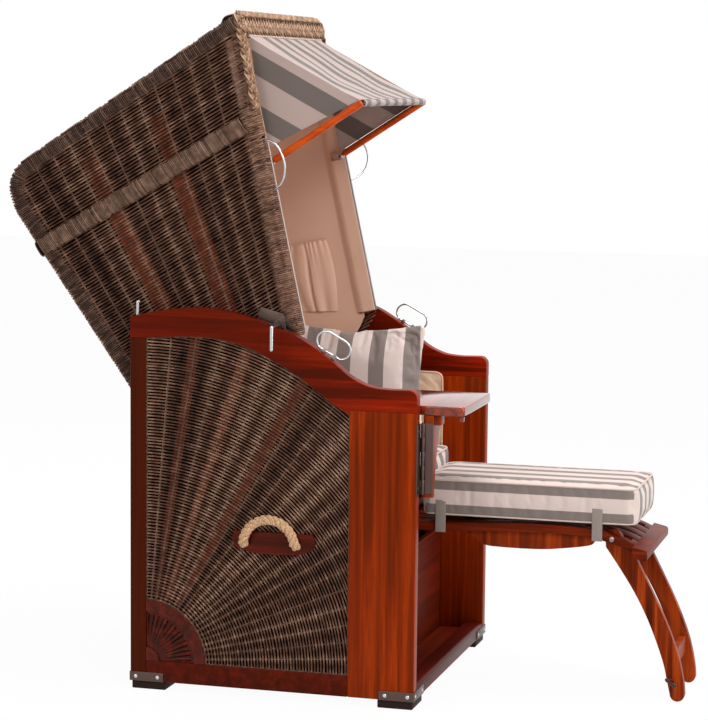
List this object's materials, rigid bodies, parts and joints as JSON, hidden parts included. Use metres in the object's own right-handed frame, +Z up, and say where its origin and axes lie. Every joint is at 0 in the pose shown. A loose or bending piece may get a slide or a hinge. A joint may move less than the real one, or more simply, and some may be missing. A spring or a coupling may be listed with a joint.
{
  "type": "hooded beach chair",
  "caption": "Hooded beach chair with woven tilting hood, carved wooden side frames, folding awning, side table and padded pull-out footrest.",
  "frame": {"origin": "middle of the whole chair on the floor", "axes": "+Z up, the chair faces -Y, +X towards the sitter's left; the hood is stored leaning back"},
  "size_m": [0.862, 1.6176, 1.6088],
  "materials": {
    "wood": "varnished red brown mahogany, glossy",
    "table_wood": "polished red brown hardwood, very glossy",
    "wicker": "woven strands, greyish brown with lighter strands",
    "rope": "twisted natural rope",
    "dark_foot": "dark matte",
    "steel": "bright steel",
    "dark_metal": "dark brown painted",
    "striped_cloth": "woven cloth with even stripes of pale pinkish white and grey",
    "plain_cloth": "plain beige cloth"
  },
  "bodies": {
    "base": {"right_top_rail": "wood", "left_top_rail": "wood", "right_posts": "wood", "left_posts": "wood", "bottom_rails": "wood", "shell_corners": "wood", "wicker_panels": "wicker", "handle_plates": "wood", "rope_handles": "rope", "feet": "dark_foot", "corner_shoes": "steel", "shoe_screws": "steel", "front_sill": "wood", "rear_wall": "wood", "floor_board": "wood", "kick_board": "wood", "seat_board": "wood", "footrest_runners": "wood", "arm_brackets": "dark_metal", "ring_clips": "steel", "post_leaf": "steel", "right_side_pad": "plain_cloth", "left_side_pad": "plain_cloth", "seat_cushion": "striped_cloth", "throw_pillow": "striped_cloth"},
    "hood": {"right_hood_side": "wicker", "left_hood_side": "wicker", "hood_shell": "wicker", "hood_slats": "wood", "front_bar": "wicker", "edge_rolls": "wicker", "hood_rims": "wicker", "hood_band": "wicker", "hood_lining": "plain_cloth", "back_pad": "striped_cloth", "hood_pockets": "plain_cloth", "grab_bows": "steel", "hood_plates": "dark_metal", "arm_sockets": "steel"},
    "awning": {"awning_arms": "wood", "awning_hem": "striped_cloth", "awning_cloth": "striped_cloth", "awning_gussets": "striped_cloth"},
    "table": {"table_board": "table_wood", "table_gusset": "table_wood", "table_leaf": "steel"},
    "carriage": {"rest_carriage": "wood"},
    "tray": {"rest_slats": "wood", "rest_aprons": "wood", "rest_bolts": "steel", "rest_cushion": "striped_cloth", "rest_straps": "plain_cloth"},
    "legs": {"rest_legs": "wood"},
    "right_pin": {"right_hood_pin": "steel"},
    "left_pin": {"left_hood_pin": "steel"},
    "right_peg": {"right_rear_pin": "steel"},
    "left_peg": {"left_rear_pin": "steel"},
    "right_ring": {"right_drink_ring": "steel"},
    "left_ring": {"left_drink_ring": "steel"}
  },
  "joints": [
    {"name": "hood_tilt", "type": "hinge", "parent": "base", "child": "hood", "pos_m": [0, 0.118, 0.887], "axis": [1, 0, 0], "range_deg": [0, 33.2]},
    {"name": "awning_fold", "type": "hinge", "parent": "hood", "child": "awning", "pos_m": [0, 0.16529, 1.2596], "axis": [1, 0, 0], "range_deg": [-70, 0], "deforming": ["awning_cloth", "awning_gussets"]},
    {"name": "table_swing", "type": "hinge", "parent": "base", "child": "table", "pos_m": [-0.3455, -0.2235, 0.6], "axis": [0, 0, 1], "range_deg": [-90, 0]},
    {"name": "footrest_slide", "type": "slide", "parent": "base", "child": "carriage", "axis": [0, 1, 0], "range_m": [0, 0.025]},
    {"name": "footrest_lift", "type": "hinge", "parent": "carriage", "child": "tray", "pos_m": [0, -0.022, 0.389], "axis": [1, 0, 0], "range_deg": [-4, 0]},
    {"name": "leg_fold", "type": "hinge", "parent": "tray", "child": "legs", "pos_m": [0, -0.631, 0.385], "axis": [1, 0, 0], "range_deg": [0, 95]},
    {"name": "right_pin_pull", "type": "slide", "parent": "base", "child": "right_pin", "axis": [-1, 0, 0], "range_m": [0, 0.024]},
    {"name": "left_pin_pull", "type": "slide", "parent": "base", "child": "left_pin", "axis": [1, 0, 0], "range_m": [0, 0.024]},
    {"name": "right_peg_lift", "type": "slide", "parent": "base", "child": "right_peg", "axis": [0, 0, 1], "range_m": [0, 0.045]},
    {"name": "left_peg_lift", "type": "slide", "parent": "base", "child": "left_peg", "axis": [0, 0, 1], "range_m": [0, 0.045]},
    {"name": "right_ring_fold", "type": "hinge", "parent": "base", "child": "right_ring", "pos_m": [-0.365, -0.003, 0.82518], "axis": [0, 0.8788, 0.4772], "range_deg": [-88, 0]},
    {"name": "left_ring_fold", "type": "hinge", "parent": "base", "child": "left_ring", "pos_m": [0.365, -0.003, 0.82518], "axis": [0, 0.8788, 0.4772], "range_deg": [0, 88]}
  ]
}
